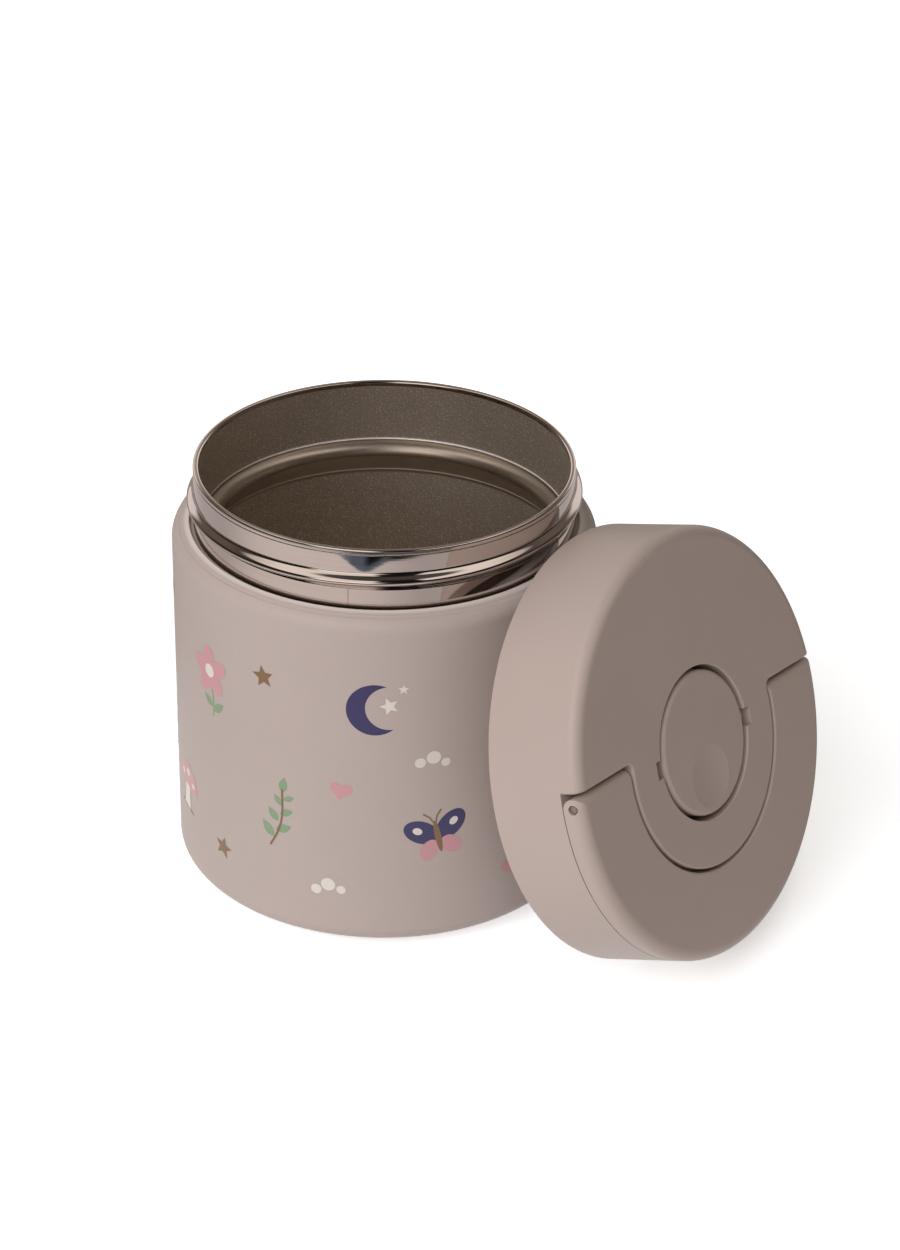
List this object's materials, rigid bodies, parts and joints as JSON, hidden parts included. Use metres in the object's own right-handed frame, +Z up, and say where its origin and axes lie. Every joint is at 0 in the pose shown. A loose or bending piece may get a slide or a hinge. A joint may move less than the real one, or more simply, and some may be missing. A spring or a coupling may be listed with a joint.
{
  "type": "insulated food jar",
  "caption": "Round vacuum-insulated steel food jar with a wide polished neck and a lift-off lid that has a flush crescent carrying handle and a vent button.",
  "frame": {"origin": "on the floor at the centre of the jar's base", "axes": "+Z up along the jar's axis; the lid's axis lies in the XZ plane and points to +X and up"},
  "size_m": [0.1516, 0.1054, 0.104],
  "materials": {
    "coated_steel": "warm taupe powder coating with a fine matte grain",
    "satin_steel": "satin, fine blasted grain",
    "polished_steel": "polished",
    "seal_metal": "dull cast",
    "foil": "thin bright foil",
    "getter_metal": "dull",
    "lid_plastic": "warm taupe, soft satin",
    "pin_steel": "bright cut ends",
    "liner_plastic": "light warm grey",
    "foam": "expanded foam",
    "silicone": "soft, slightly translucent",
    "spring_steel": "drawn wire"
  },
  "bodies": {
    "jar": {"outer_shell": "coated_steel", "shell_bottom": "satin_steel", "vacuum_seal": "seal_metal", "base_cover": "coated_steel", "inner_vessel": "satin_steel", "neck_collar": "polished_steel", "heat_shield": "foil", "getter": "getter_metal"},
    "lid": {"lid_cover": "lid_plastic", "handle_pin_left": "pin_steel", "handle_pin_right": "pin_steel", "lid_liner": "liner_plastic", "lid_insulation": "foam", "lid_gasket": "silicone", "vent_spring": "spring_steel"},
    "handle": {"handle": "lid_plastic"},
    "button": {"vent_button": "lid_plastic"},
    "valve": {"vent_stem": "liner_plastic", "valve_disc": "silicone"}
  },
  "joints": [
    {"name": "lid_lift", "type": "slide", "parent": "jar", "child": "lid", "axis": [0.9493, 0, 0.3145], "range_m": [0, 0.13]},
    {"name": "handle_turn", "type": "hinge", "parent": "lid", "child": "handle", "pos_m": [0.08376, 0.00493, 0.05634], "axis": [-0.0304, -0.9953, 0.0918], "range_deg": [0, 110]},
    {"name": "button_press", "type": "hinge", "parent": "lid", "child": "button", "pos_m": [0.08257, 0.00476, 0.05406], "axis": [0.0304, 0.9953, -0.0918], "range_deg": [0, 6.29], "stiffness_Nm_per_rad": 0.06, "springref_deg": -8.02},
    {"name": "valve_open", "type": "slide", "parent": "lid", "child": "valve", "axis": [-0.9493, 0, -0.3145], "range_m": [0, 0.00091], "deforming": ["vent_spring"]}
  ],
  "couplings": [
    {"joint": "valve_open", "follows": "button_press", "m_per_rad": 0.0082}
  ]
}
